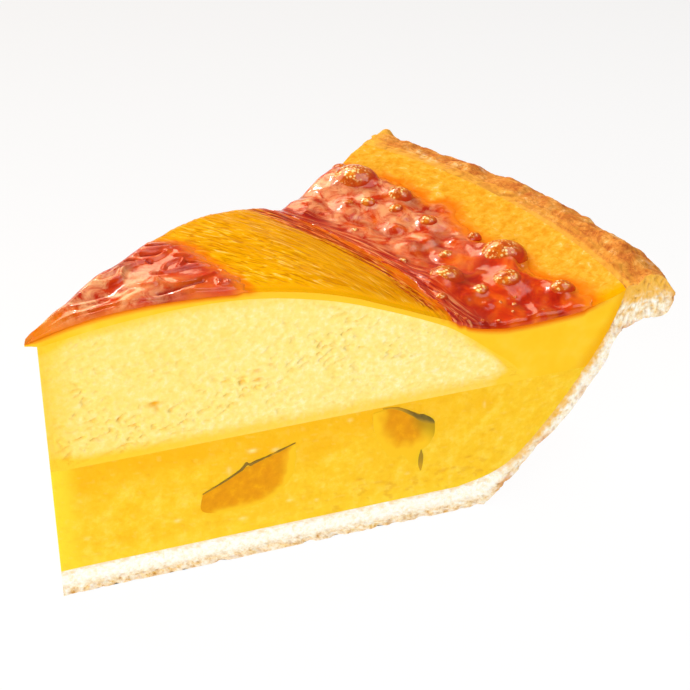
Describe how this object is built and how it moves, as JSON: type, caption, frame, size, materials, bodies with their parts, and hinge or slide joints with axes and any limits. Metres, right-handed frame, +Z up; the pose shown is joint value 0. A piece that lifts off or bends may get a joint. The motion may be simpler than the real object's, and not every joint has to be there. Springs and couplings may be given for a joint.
{
  "type": "pumpkin tart slice",
  "caption": "Wedge of deep baked tart: crust shell and rim, pumpkin layer, mousse mound, cream skin and blistered red glaze.",
  "frame": {"origin": "on the surface the slice stands on, at the middle of its bounding box seen from above", "axes": "+X from the pointed tip to the rim along the slice's centre line, +Z up"},
  "size_m": [0.1282, 0.0872, 0.062],
  "materials": {
    "baked_crust": "baked shortcrust, brown rim, pale cut",
    "baked_pumpkin": "moist baked custard",
    "set_mousse": "soft aerated mousse",
    "pumpkin_cream": "glossy set cream",
    "caramel_glaze": "wet red glaze with browned blisters",
    "stewed_pumpkin": "soft stewed flesh",
    "pumpkin_skin": "dark green rind"
  },
  "bodies": {
    "root": {"crust": "baked_crust", "pumpkin_filling": "baked_pumpkin", "mousse": "set_mousse", "pumpkin_cream": "pumpkin_cream", "glaze_disc": "caramel_glaze", "glaze_ring": "caramel_glaze", "pumpkin_chunk_1": "stewed_pumpkin", "pumpkin_chunk_2": "stewed_pumpkin", "pumpkin_skin_scrap": "pumpkin_skin"}
  },
  "joints": []
}
